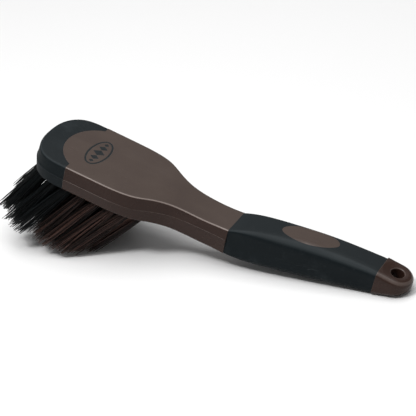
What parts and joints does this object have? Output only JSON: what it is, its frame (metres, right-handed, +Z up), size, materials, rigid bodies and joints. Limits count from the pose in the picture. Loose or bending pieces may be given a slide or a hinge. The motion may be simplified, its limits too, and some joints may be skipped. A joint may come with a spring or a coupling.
{
  "type": "horse grooming brush",
  "caption": "Long-handled stable brush with a paddle head, rubber toe bumper and grip, leaning stapled bristle tufts and a hanging hole.",
  "frame": {"origin": "centre of the footprint, on the surface that the brush lies on", "axes": "+X from the toe to the handle's end, +Y across the brush, +Z up, with the brush resting on its heel bristles and the end of its handle"},
  "size_m": [0.3104, 0.0762, 0.0816],
  "materials": {
    "core_plastic": "fine moulded satin, dark brown",
    "soft_rubber": "soft matte overmoulding, blue black",
    "emblem_black": "matte black inlay",
    "black_bristle": "stiff crimped filament, black",
    "brown_bristle": "stiff filament, dark reddish brown",
    "anchor_wire": "flat tinned wire"
  },
  "bodies": {
    "root": {"emblem_inlay": "emblem_black", "grip_sleeve": "soft_rubber", "handle_core": "core_plastic", "toe_bumper": "soft_rubber", "tuft_1a": "black_bristle", "tuft_1b": "black_bristle", "tuft_1c": "black_bristle", "tuft_1d": "black_bristle", "tuft_2a": "black_bristle", "tuft_2b": "black_bristle", "tuft_2c": "black_bristle", "tuft_2d": "black_bristle", "tuft_2e": "black_bristle", "tuft_3a": "black_bristle", "tuft_3b": "black_bristle", "tuft_3c": "black_bristle", "tuft_3d": "black_bristle", "tuft_3e": "black_bristle", "tuft_4a": "brown_bristle", "tuft_4b": "brown_bristle", "tuft_4c": "brown_bristle", "tuft_4d": "brown_bristle", "tuft_4e": "brown_bristle", "tuft_5a": "brown_bristle", "tuft_5b": "brown_bristle", "tuft_5c": "brown_bristle", "tuft_5d": "brown_bristle", "tuft_5e": "brown_bristle", "tuft_6a": "brown_bristle", "tuft_6b": "brown_bristle", "tuft_6c": "brown_bristle", "tuft_6d": "brown_bristle", "tuft_6e": "brown_bristle", "tuft_7a": "brown_bristle", "tuft_7b": "brown_bristle", "tuft_7c": "brown_bristle", "tuft_7d": "brown_bristle", "tuft_7e": "brown_bristle", "tuft_8a": "brown_bristle", "tuft_8b": "brown_bristle", "tuft_8c": "brown_bristle", "tuft_8d": "brown_bristle", "tuft_anchors": "anchor_wire"}
  },
  "joints": []
}
